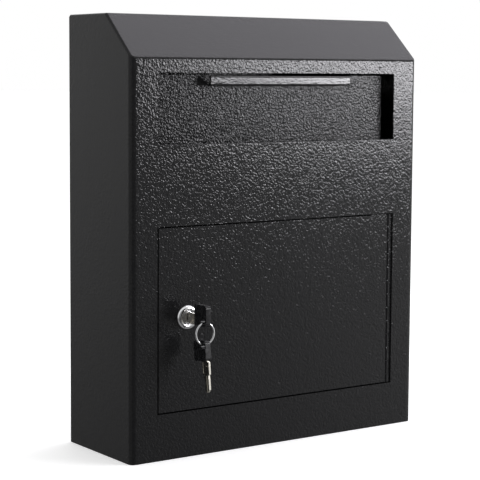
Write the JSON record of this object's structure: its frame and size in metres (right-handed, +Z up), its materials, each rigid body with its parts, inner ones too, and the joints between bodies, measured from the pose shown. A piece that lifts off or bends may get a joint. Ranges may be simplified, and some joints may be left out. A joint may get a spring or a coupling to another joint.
{
  "type": "wall mounted mailbox",
  "caption": "Wall mounted steel mailbox with a sloping hood, a pull-out deposit flap behind a wide slot, and a key-locked door on a continuous hinge.",
  "frame": {"origin": "centre of the four wall-mounting holes, on the back face", "axes": "+Z up, +Y out of the back into the wall, the front faces -Y, +X to the right as seen from the front"},
  "size_m": [0.312, 0.1408, 0.381],
  "materials": {
    "black_paint": "black hammertone powder coat, semi-gloss, orange-peel texture about 2.5 mm across",
    "zinc_steel": "bright zinc plated, satin",
    "lock_chrome": "polished chrome plate",
    "key_nickel": "nickel plated brass, milled",
    "black_plastic": "moulded black plastic, fine matte with rubbed edges"
  },
  "bodies": {
    "cabinet": {"front_panel": "black_paint", "left_side_panel": "black_paint", "right_side_panel": "black_paint", "hood_panel": "black_paint", "bottom_panel": "black_paint", "back_panel": "black_paint", "strike_bracket": "zinc_steel", "door_stop_upper": "zinc_steel", "door_stop_lower": "zinc_steel", "hinge_leaf_frame": "black_paint", "hinge_pin": "zinc_steel", "flap_axle": "zinc_steel", "flap_bracket_left": "zinc_steel", "flap_bracket_right": "zinc_steel", "axle_clip_left": "zinc_steel", "axle_clip_right": "zinc_steel", "flap_spring_left": "zinc_steel", "flap_spring_right": "zinc_steel"},
    "door": {"door_panel": "black_paint", "hinge_leaf_door": "black_paint", "lock_housing": "lock_chrome", "lock_nut": "zinc_steel"},
    "lock": {"lock_plug": "lock_chrome", "lock_cam": "zinc_steel", "cam_screw": "zinc_steel"},
    "key": {"key_blade": "key_nickel", "key_head": "black_plastic"},
    "key_ring": {"split_ring": "lock_chrome"},
    "spare_key": {"spare_key_blade": "key_nickel", "spare_key_head": "black_plastic"},
    "flap": {"deposit_flap": "black_paint"}
  },
  "joints": [
    {"name": "door_hinge", "type": "hinge", "parent": "cabinet", "child": "door", "pos_m": [0.1255, -0.1029, -0.06985], "axis": [0, 0, 1], "range_deg": [0, 110]},
    {"name": "lock_turn", "type": "hinge", "parent": "door", "child": "lock", "pos_m": [-0.1, -0.105, -0.0683], "axis": [0, -1, 0], "range_deg": [0, 90]},
    {"name": "key_withdraw", "type": "slide", "parent": "lock", "child": "key", "axis": [0, -1, 0], "range_m": [0, 0.03]},
    {"name": "ring_swing", "type": "hinge", "parent": "key", "child": "key_ring", "pos_m": [-0.1, -0.1328, -0.06965], "axis": [-1, 0, 0], "range_deg": [-10, 60]},
    {"name": "spare_key_swing", "type": "hinge", "parent": "key_ring", "child": "spare_key", "pos_m": [-0.1, -0.1328, -0.08805], "axis": [-1, 0, 0], "range_deg": [-20, 45]},
    {"name": "flap_pivot", "type": "hinge", "parent": "cabinet", "child": "flap", "pos_m": [0, -0.083, 0.0665], "axis": [1, 0, 0], "range_deg": [0, 28], "stiffness_Nm_per_rad": 0.1, "springref_deg": -57.3, "deforming": ["flap_spring_left", "flap_spring_right"]}
  ]
}
